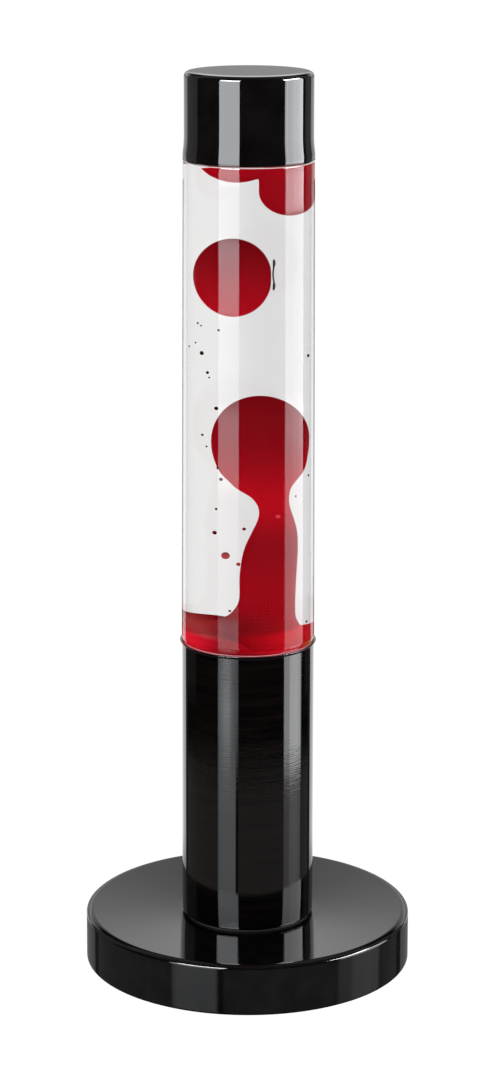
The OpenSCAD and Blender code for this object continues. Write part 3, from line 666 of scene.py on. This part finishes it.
# bottom: follows the inside of the glass
for r, z in [(0, BOTTLE_Z0 + 4.5), (14, BOTTLE_Z0 + 4.1), (18.3, BOTTLE_Z0 + 3.4), (21.0, BOTTLE_Z0 + 4.4), (22.0, BOTTLE_Z0 + 6.2), (22.1, 127.4), (22.35, 129),
             (22.9, 131.0), (23.45, 132.6), (23.95, 134.4)]:
    rings.append((0, 0, z, r, 0.0))
MOUND = [
    # cx, cz, r, tilt
    (0.0, 134.6, 24.08, 1.6), (0.0, 135.3, 24.02, 3.4), (0.1, 135.6, 23.6, 3.9), (0.5, 135.75, 22.2, 3.9), (1.3, 135.9, 20.0, 3.7),
    (2.2, 136.2, 17.6, 3.3), (2.9, 137.2, 15.2, 2.7), (3.3, 139.1, 12.8, 1.9), (3.75, 141.4, 11.0, 1.2), (4.3, 143.4, 9.8, 0.7),
    (5.15, 146.6, 8.85, 0.3), (5.65, 149.8, 8.38, 0.0), (5.8, 153.1, 8.32, 0.0), (5.84, 156.3, 8.38, 0.0), (5.91, 159.6, 8.43, 0.0),
    (6.10, 162.8, 8.40, 0.0), (6.33, 166.1, 8.31, 0.0), (6.66, 169.4, 8.12, 0.0), (7.03, 172.6, 7.75, 0.0), (7.57, 176.0, 7.12, 0.0),
    (7.95, 179.3, 6.33, 0.0), (8.18, 182.6, 5.45, 0.0), (7.98, 185.9, 4.79, 0.0), (7.35, 189.2, 4.82, 0.0), (6.31, 192.4, 5.83, 0.0),
    (4.72, 195.5, 8.04, 0.0), (4.36, 198.5, 10.16, 0.0), (4.21, 201.4, 12.23, 0.0), (3.97, 204.5, 13.33, 0.0), (3.76, 207.6, 13.96, 0.0),
    (3.65, 210.7, 14.40, 0.0), (3.62, 214.2, 14.52, 0.0)]
for cx, cz, r, tilt in spline([list(m) for m in MOUND], 4):
    rings.append((cx, 0, cz, r, tilt))
for i in range(1, 19):
    t = math.radians(90 * i / 18)
    rings.append((3.62 - 0.4 * math.sin(t) ** 2, 0, 214.2 + 18.6 * math.sin(t), 14.52 * math.cos(t) if i < 18 else 0.0, 0.0))
wax_column = loft("wax_column_flow", rings, [M_WAX_COL])
for v in wax_column.data.vertices:
    x, z = v.co.x / MM, v.co.z / MM
    if x < -15 and 133 < z < 150:
        v.co.z -= 2.2 * min(1.0, (-15 - x) / 8.0) ** 1.5 * min(1.0, (z - 133) / 4.0) * MM
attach(wax_column, "vessel")
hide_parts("wax_column")

# ---------------------------------------------------------------- wax under the shoulder
def ball(bm, x, y, z, rx, rz=None, seg=48, rz_low=None):
    rz = rz or rx
    geo = bmesh.ops.create_uvsphere(bm, u_segments=seg, v_segments=seg // 2, radius=1.0)
    for v in geo["verts"]:
        k = rz if v.co.z > 0 or rz_low is None else rz_low
        v.co = Vector(((x + v.co.x * rx) * MM, (y + v.co.y * rx) * MM, (z + v.co.z * k) * MM))


def remeshed(ob, voxel, smooth):
    mod = ob.modifiers.new("skin", "REMESH")
    mod.mode = "VOXEL"
    mod.voxel_size = voxel * MM
    mod.use_smooth_shade = True
    sm = ob.modifiers.new("soften", "SMOOTH")
    sm.factor = 0.5
    sm.iterations = smooth
    bpy.context.view_layer.update()
    me = bpy.data.meshes.new_from_object(ob.evaluated_get(bpy.context.evaluated_depsgraph_get()))
    ob.modifiers.clear()
    ob.data = me
    for p in me.polygons:
        p.use_smooth = True
    return ob


bm = bmesh.new()
ball(bm, -3.6, 0, 330.8, 13.5)
ball(bm, 12.6, 0, 313.9, 9.75)
geo = bmesh.ops.create_cone(bm, cap_ends=True, segments=64, radius1=9.6 * MM, radius2=9.6 * MM, depth=15 * MM, matrix=Matrix.Translation((12.5 * MM, 0, 321.5 * MM)))
geo = bmesh.ops.create_cone(bm, cap_ends=True, segments=96, radius1=21.3 * MM, radius2=21.3 * MM, depth=5 * MM, matrix=Matrix.Translation((0, 0, 327.9 * MM)))
top = finish_mesh(bm, "wax_top_flow", [M_WAX_TOP], sharp=None)
remeshed(top, 0.36, 7)
for v in top.data.vertices:
    if v.co.z > 330.6 * MM:
        v.co.z = 330.6 * MM
    r = math.hypot(v.co.x, v.co.y)
    lim = (21.9 if v.co.z < 328 * MM else 21.3) * MM
    if r > lim:
        v.co.x *= lim / r
        v.co.y *= lim / r
top.data.materials.clear()
top.data.materials.append(M_WAX_TOP)
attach(top, "vessel")
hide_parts("wax_top")

# ---------------------------------------------------------------- free blob
rings = []
BX, BZ = -4.6, 279.8
for i in range(0, 49):
    t = math.radians(-90 + 180 * i / 48)
    k = 15.4
    rings.append((BX - 0.25 * math.cos(t) ** 4, 0, BZ + k * math.sin(t), 11.6 * math.cos(t) if 0 < i < 48 else 0.0, 0.0))
def flat_side(x, y, z):
    over = x - BX - 10.95
    return (x if over < 0 else BX + 10.95 + over * 0.4, y, z)


blob = loft("wax_free_blob", rings, [M_WAX_BLOB], shape=flat_side)
# thin near-black sliver beside the blob: painted shade along its flattened side
bm = bmesh.new()
prev = None
for i in range(25):
    t = i / 24
    z = 274.6 + 12.6 * t
    edge = 1 - abs(2 * t - 1)
    r = 0.05 + 0.48 * min(1, edge * 8) * (1.0 if edge < 0.45 else 0.55)
    cx = 7.30 + 0.16 * math.sin(t * 9.0)
    ring = [bm.verts.new(((cx + 0.75 * r * math.cos(2 * math.pi * k / 12)) * MM, (3.2 * r * math.sin(2 * math.pi * k / 12)) * MM, z * MM)) for k in range(12)]
    if prev:
        for k in range(12):
            bm.faces.new((prev[k], prev[(k + 1) % 12], ring[(k + 1) % 12], ring[k]))
    else:
        bm.faces.new(list(reversed(ring)))
    prev = ring
bm.faces.new(prev)
sliver = finish_mesh(bm, "wax_free_sliver", [M_SHADE_SLIVER], sharp=None)
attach(sliver, "free_wax")
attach(blob, "free_wax")
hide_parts("wax_blob")

# ---------------------------------------------------------------- droplets
DROPS = [(-17.3, -8, 262.5, 0.4), (-16.2, -9, 261.7, 0.35), (-10.3, -13, 260.7, 0.45), (-18.2, -8, 254.7, 0.35), (-21.4, -8, 253.1, 0.4),
         (-16.1, -10, 251.0, 0.8), (-14.1, -11, 243.5, 0.6), (-13.3, -10, 241.4, 0.35), (-10.0, -4, 228.3, 0.7), (-14.2, -2, 217.1, 0.45),
         (20.1, -4, 248.8, 0.65), (-10.0, -9, 205.3, 0.55), (-8.7, -6, 200.2, 0.65), (-10.0, -4, 187.8, 0.45), (-1.3, -6, 180.3, 0.6),
         (-10.5, -4, 178.2, 0.75), (-7.1, -5, 169.2, 1.4), (-3.1, -6, 166.0, 0.7), (-6.0, -9, 147.5, 0.45), (20.5, -4, 200.7, 0.45),
         (20.1, -5, 141.4, 0.5), (-13.0, -3, 212.7, 0.35), (15.1, -4, 192.7, 0.35)]
bm = bmesh.new()
for x, y, z, r in DROPS:
    ball(bm, x, y, z, r, seg=24)
n_drops = len(bm.faces)
# this ball takes slot 1, the painted glow
ball(bm, 9.4, -4.9, 185.0, 0.75, seg=24)
drops = finish_mesh(bm, "wax_free_droplets", [M_WAX_DROP, M_BUBBLE_GLOW], sharp=None)
for k, p in enumerate(drops.data.polygons):
    if k >= n_drops:
        p.material_index = 1
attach(drops, "vessel")
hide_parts("wax_droplets")

# ---------------------------------------------------------------- finishes of the carried-over CAD nodes
FINISH = {
    "black_gloss": dict(base=(0.008, 0.008, 0.008), dark=(0.005, 0.005, 0.005), rough=0.1, ior=1.6, scale=90),
    "black_cover": dict(base=(0.020, 0.020, 0.021), dark=(0.012, 0.012, 0.012), rough=0.5, scale=220, bump=0.3, bump_scale=900),
    "black_rubber": dict(base=(0.016, 0.016, 0.016), dark=(0.008, 0.008, 0.008), rough=0.62, scale=260, bump=0.25, bump_scale=1200),
    "silicone": dict(base=(0.74, 0.72, 0.66), dark=(0.66, 0.64, 0.58), rough=0.45, scale=120, bump=0.06),
    "bare_steel": dict(base=(0.62, 0.62, 0.64), dark=(0.50, 0.50, 0.52), rough=0.28, metallic=1.0, scale=300, rough_var=0.08, stretch=(1, 1, 8)),
    "cast_iron": dict(base=(0.055, 0.052, 0.050), dark=(0.025, 0.024, 0.024), rough=0.72, metallic=0.6, scale=260, bump=0.9, bump_scale=700),
    "brass": dict(base=(0.78, 0.56, 0.22), dark=(0.66, 0.46, 0.17), rough=0.25, metallic=1.0, scale=240, rough_var=0.08),
    "white_ceramic": dict(base=(0.80, 0.78, 0.73), dark=(0.72, 0.70, 0.65), rough=0.3, scale=80, bump=0.05),
    "nylon": dict(base=(0.78, 0.76, 0.70), dark=(0.70, 0.68, 0.62), rough=0.42, scale=90, bump=0.05),
    "wire_brown": dict(base=(0.16, 0.065, 0.025), dark=(0.12, 0.045, 0.018), rough=0.4, scale=200),
    "wire_blue": dict(base=(0.03, 0.10, 0.42), dark=(0.02, 0.075, 0.33), rough=0.4, scale=200),
    "bulb_glass": dict(base=(0.80, 0.80, 0.79), dark=(0.72, 0.72, 0.71), rough=0.35, scale=60),
    "solder": dict(base=(0.55, 0.56, 0.57), dark=(0.42, 0.43, 0.44), rough=0.42, metallic=1.0, scale=500, bump=0.3),
    "vitrite": dict(base=(0.012, 0.010, 0.022), dark=(0.006, 0.005, 0.012), rough=0.15, scale=150),
    "tungsten": dict(base=(0.30, 0.29, 0.28), dark=(0.20, 0.20, 0.19), rough=0.45, metallic=1.0, scale=800),
    "clear_glass": dict(base=(0.8, 0.8, 0.8), dark=(0.75, 0.75, 0.75), rough=0.1, scale=50),
    "clear_liquid": dict(base=(0.8, 0.8, 0.8), dark=(0.75, 0.75, 0.75), rough=0.1, scale=50),
    "red_wax": dict(base=(0.45, 0.003, 0.012), dark=(0.36, 0.002, 0.010), rough=0.4, scale=60),
}
slot_of_node = {}
for part in frame["record"].get("materials", []):
    for n in part.get("nodes", []):
        slot_of_node[n] = part.get("slot")
done = {}
for name, ob in NODES.items():
    for i, s in enumerate(ob.material_slots):
        key = None
        if s.material is not None:
            key = s.material.name.split(".")[0]
        if key not in FINISH:
            key = slot_of_node.get(name)
        if key in FINISH:
            if key not in done:
                done[key] = procedural("cad_" + key, **FINISH[key])
            s.material = done[key]

# ---------------------------------------------------------------- set: floor, backdrop, lights
WHITE = (1.0, 1.0, 1.0)


def quad(name, corners, mat, camera=False, glossy=True, diffuse=True, transmission=True, sampling=None):
    me = bpy.data.meshes.new(name)
    me.from_pydata([Vector(c) for c in corners], [], [tuple(range(len(corners)))])
    me.materials.append(mat)
    ob = bpy.data.objects.new(name, me)
    SCENE.collection.objects.link(ob)
    ob.visible_camera = camera
    ob.visible_glossy = glossy
    ob.visible_diffuse = diffuse
    ob.visible_transmission = transmission
    ob.visible_shadow = False
    return ob


def standing(name, az0, az1, dist, z0, z1, mat, **k):
    """Upright panel round the lamp between two azimuths (0 = front, positive = right), bent in flat strips."""
    n = 16
    bm = bmesh.new()
    cols = []
    for i in range(n + 1):
        a = math.radians(az0 + (az1 - az0) * i / n)
        x, y = dist * math.sin(a), -dist * math.cos(a)
        cols.append((bm.verts.new((x, y, z0)), bm.verts.new((x, y, z1))))
    for (a0, a1), (b0, b1) in zip(cols, cols[1:]):
        bm.faces.new((a0, a1, b1, b0))
    me = bpy.data.meshes.new(name)
    bm.to_mesh(me)
    bm.free()
    me.materials.append(mat)
    ob = bpy.data.objects.new(name, me)
    SCENE.collection.objects.link(ob)
    ob.visible_camera = k.get("camera", False)
    ob.visible_glossy = k.get("glossy", True)
    ob.visible_diffuse = k.get("diffuse", True)
    ob.visible_transmission = k.get("transmission", False)
    ob.visible_shadow = False
    return ob


M_FLOOR = emissive("floor_white", (1.02, 1.02, 1.02), (1.03, 1.03, 1.03), -1, 1)
floor = quad("floor", [(-30, -30, 0), (30, -30, 0), (30, 30, 0), (-30, 30, 0)], M_FLOOR, camera=True, glossy=False)
COOL, COOL_R = (0.935, 0.975, 1.0), (0.97, 0.985, 1.0)
WARM = (1.13, 1.0, 1.03)
LOW_Z = -0.158
M_LEFT_LOW = emissive_stops("softbox_left_low", [(-0.60, 0.50), (-0.38, 0.55), (-0.32, 0.80), (-0.278, 0.82), (-0.262, 0.93), (-0.240, 1.0)], tint=COOL,
                            around=[(-53, 0.70), (-49, 0.95), (-40, 1.0), (-21.5, 1.0), (-20.0, 0.0), (-16.4, 0.0)])
M_LEFT_MID = emissive_stops("softbox_left_mid", [(-0.240, 1.05), (-0.233, 1.35), (-0.2256, 1.3), (-0.218, 1.6), (-0.211, 2.3), (-0.203, 1.35), (-0.196, 2.4),
                                                 (-0.188, 1.85), (-0.181, 2.7), (-0.173, 1.7), (-0.166, 1.1), (-0.1615, 0.75), (LOW_Z, 0.6)], tint=COOL,
                            around=[(-53, 0.42), (-48, 0.68), (-40, 0.98), (-33, 1.0), (-28, 0.62), (-22, 0.45), (-16.4, 0.3)])
M_LEFT = emissive_stops("softbox_left", [(LOW_Z, 0.5), (-0.153, 0.6), (-0.147, 1.7, WARM), (-0.127, 1.9, WARM), (-0.121, 0.9), (-0.05, 1.4), (-0.032, 1.5), (-0.023, 3.3, WARM),
                                         (0.0265, 3.85, WARM), (0.0355, 2.4), (0.0965, 2.5), (0.1010, 4.4, WARM), (0.151, 5.3, WARM), (0.1555, 2.7), (0.190, 2.8),
                                         (0.195, 5.5, (1.10, 1, 1.02)), (0.212, 5.6, (1.08, 1, 1.02)), (0.218, 5.6), (0.90, 5.8)], tint=COOL)
M_RIGHT_LOW = emissive_stops("softbox_right_low", [(-0.60, 0.40), (-0.38, 0.45), (-0.30, 0.66), (-0.2475, 0.70), (-0.2435, 1.6), (-0.2395, 3.5), (-0.20, 3.4), (LOW_Z, 3.4)],
                             tint=COOL_R, around=[(65.5, 0.62), (76.5, 0.66), (78.5, 1.0), (95, 0.95), (98, 0.82), (103, 0.76), (105.5, 0.3), (107, 0.0)])
M_RIGHT = emissive_stops("softbox_right", [(LOW_Z, 2.6), (-0.153, 2.0), (-0.147, 1.9, WARM), (-0.130, 2.1, WARM), (-0.115, 2.7, WARM), (-0.09, 2.6, WARM), (-0.03, 3.0, WARM),
                                           (-0.01, 3.4, WARM), (0.015, 4.3, WARM), (0.035, 4.2, WARM), (0.041, 3.4), (0.07, 3.4), (0.13, 2.9), (0.169, 2.9),
                                           (0.1735, 6.8, (1.13, 1, 1.03)), (0.205, 7.1, (1.13, 1, 1.03)), (0.215, 6.2), (0.25, 6.0), (0.90, 5.9)], tint=COOL_R,
                         around=[(65.5, 0.80), (68.5, 0.82), (70, 1.10), (72, 0.88), (84, 0.95), (86, 1.08), (88, 0.97), (100, 1.0), (109, 1.08)])
M_HIGH = emissive_stops("softbox_high", [(0.64, 24.0), (0.70, 40.0), (0.90, 46.0)], tint=COOL_R)
M_BACK_LOW = emissive_stops("backdrop_low", [(-2.0, 0.2), (-1.10, 0.2), (-1.02, 1.2), (-0.74, 1.15)])
M_BACK_MID = emissive_stops("backdrop_mid", [(-0.74, 1.15), (-0.50, 1.1), (-0.08, 0.82)], aside=[(0, 0.12), (1.12, 0.12), (1.30, 1.0), (3.2, 1.0)])
M_BACK = emissive_stops("backdrop_glow", [(-0.08, 0.82), (0.1, 0.7), (0.45, 0.42), (0.685, 0.42), (0.75, 1.12), (0.86, 1.12),
                                          (1.15, 0.72), (1.55, 0.38), (1.72, 0.02), (3.0, 0.0)], aside=[(0, 1.0), (0.12, 1.0), (0.18, 0.84), (0.5, 0.90), (1.0, 1.0), (3.2, 1.0)])
M_WING = emissive_stops("backdrop_wing", [(-2.0, 0.03), (-0.9, 0.03), (-0.35, 0.06), (-0.12, 0.17), (3.0, 0.17)])
M_CARD = emissive_stops("grey_card", [(-1.2, 0.0), (-0.75, 0.02), (-0.60, 0.105), (-0.262, 0.105), (-0.253, 0.09), (-0.245, 0.0), (-0.20, 0.0)], tint=(1.0, 0.96, 0.92))
standing("softbox_l_low", -53, -16.4, 1.0, -0.6, -0.240, M_LEFT_LOW)
standing("softbox_l_mid", -53, -16.4, 1.0, -0.240, LOW_Z, M_LEFT_MID)
standing("softbox_l", -53, -16.4, 1.0, LOW_Z, 0.9, M_LEFT)
standing("softbox_l_high", -53, -16.4, 0.99, 0.64, 0.9, M_HIGH, diffuse=False)
standing("softbox_r_high", 65.5, 104, 0.99, 0.64, 0.9, M_HIGH, diffuse=False)
standing("softbox_r_low", 65.5, 107, 1.0, -0.6, LOW_Z, M_RIGHT_LOW)
standing("softbox_r", 65.5, 109, 1.0, LOW_Z, 0.9, M_RIGHT)
standing("grey_card", -130, 130, 1.04, -1.2, -0.2, M_CARD, diffuse=False)
standing("backdrop_low", 140.5, 220.5, 3.0, -2.0, -0.74, M_BACK_LOW, diffuse=False)
standing("backdrop_mid", 140.5, 220.5, 3.0, -0.74, -0.08, M_BACK_MID, diffuse=False)
standing("backdrop", 140.5, 220.5, 3.0, -0.08, 3.0, M_BACK, diffuse=False)
M_OVER = emissive("overhead_glow", (0.04, 0.04, 0.04), (0.24, 0.24, 0.24), -1.0, 3.0, axis="Y")
overhead = quad("overhead", [(-4.0, -2.5, 4.0), (-4.0, 6.0, 4.0), (4.0, 6.0, 4.0), (4.0, -2.5, 4.0)], M_OVER, diffuse=False)
standing("wing_right", 118, 137, 3.0, -2.0, 3.0, M_WING, diffuse=False)
standing("wing_left", -139.5, -103, 3.0, -2.0, 3.0, M_WING, diffuse=False)

world = bpy.data.worlds.new("studio")
SCENE.world = world
world.use_nodes = True
wn = world.node_tree
for n in list(wn.nodes):
    wn.nodes.remove(n)
wo = wn.nodes.new("ShaderNodeOutputWorld")
bg = wn.nodes.new("ShaderNodeBackground")
wn.links.new(bg.outputs[0], wo.inputs[0])
tc = wn.nodes.new("ShaderNodeTexCoord")
sep = wn.nodes.new("ShaderNodeSeparateXYZ")
wn.links.new(tc.outputs["Generated"], sep.inputs[0])
mr = wn.nodes.new("ShaderNodeMapRange")
mr.inputs["From Min"].default_value = 0.0
mr.inputs["From Max"].default_value = 0.5
wn.links.new(sep.outputs["Z"], mr.inputs["Value"])
ramp = wn.nodes.new("ShaderNodeValToRGB")
ramp.color_ramp.elements[0].color = (1.0, 1.0, 1.0, 1)
ramp.color_ramp.elements[1].color = (0.55, 0.55, 0.56, 1)
wn.links.new(mr.outputs[0], ramp.inputs[0])
wn.links.new(ramp.outputs[0], bg.inputs["Color"])
world.cycles_visibility.glossy = False

# ---------------------------------------------------------------- camera
cam_data = bpy.data.cameras.new("camera")
cam = bpy.data.objects.new("camera", cam_data)
SCENE.collection.objects.link(cam)
cam_data.sensor_width = 36.0
cam_data.lens = 3069.193 / 1080 * 36
cam_data.shift_y = -(540 - 300) / 1080
cam_data.shift_x = 0.0
cam_data.clip_start, cam_data.clip_end = 0.05, 100
cam.location = (-0.00162, -1.186766, 0.476521)
cam.rotation_mode = "QUATERNION"
cam.rotation_quaternion = (Matrix.Rotation(math.radians(90 - 9.877), 4, "X") @ Matrix.Rotation(math.radians(0.1), 4, "Z")).to_quaternion()
SCENE.camera = cam

SCENE.view_settings.view_transform = "Standard"
SCENE.view_settings.look = "None"
SCENE.cycles.use_denoising = True
SCENE.cycles.max_bounces = 24
SCENE.cycles.transmission_bounces = 20
SCENE.cycles.glossy_bounces = 6
SCENE.cycles.diffuse_bounces = 3
SCENE.cycles.transparent_max_bounces = 24
SCENE.cycles.caustics_refractive = True
SCENE.cycles.caustics_reflective = False
SCENE.cycles.blur_glossy = 0.0
